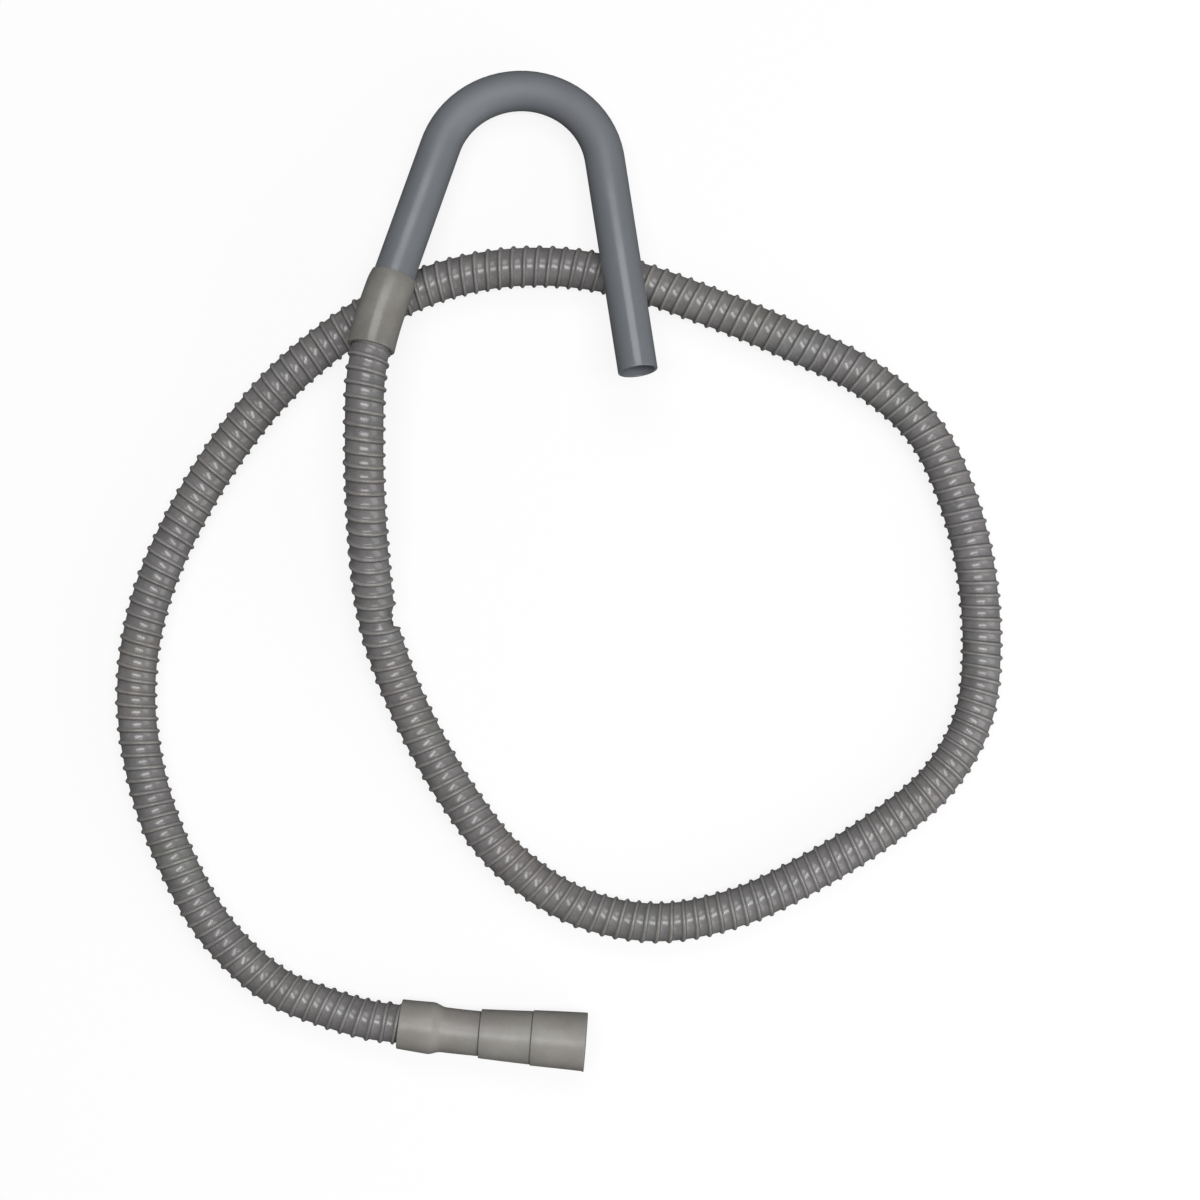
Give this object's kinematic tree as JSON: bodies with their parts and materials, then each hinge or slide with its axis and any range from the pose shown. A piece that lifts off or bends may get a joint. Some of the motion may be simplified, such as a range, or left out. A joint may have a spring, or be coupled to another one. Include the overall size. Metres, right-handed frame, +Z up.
{
  "type": "washing machine drain hose",
  "caption": "Ribbed grey drain hose in a loose loop, with a rigid hook-shaped outlet tube on a collar at one end and a stepped push-on cuff for the machine at the other.",
  "frame": {"origin": "on the surface that the hose lies on, under the middle of the box round crook, collar and cuff", "axes": "+Z up from the surface; +Y towards the crook's bend; +X to the right as the camera looks down"},
  "size_m": [0.4706, 0.5296, 0.0564],
  "materials": {
    "hose_plastic": "satin",
    "crook_plastic": "satin",
    "collar_plastic": "satin",
    "cuff_plastic": "matte"
  },
  "bodies": {
    "root": {"hose": "hose_plastic", "crook": "crook_plastic", "collar": "collar_plastic", "machine_cuff": "cuff_plastic"}
  },
  "joints": []
}
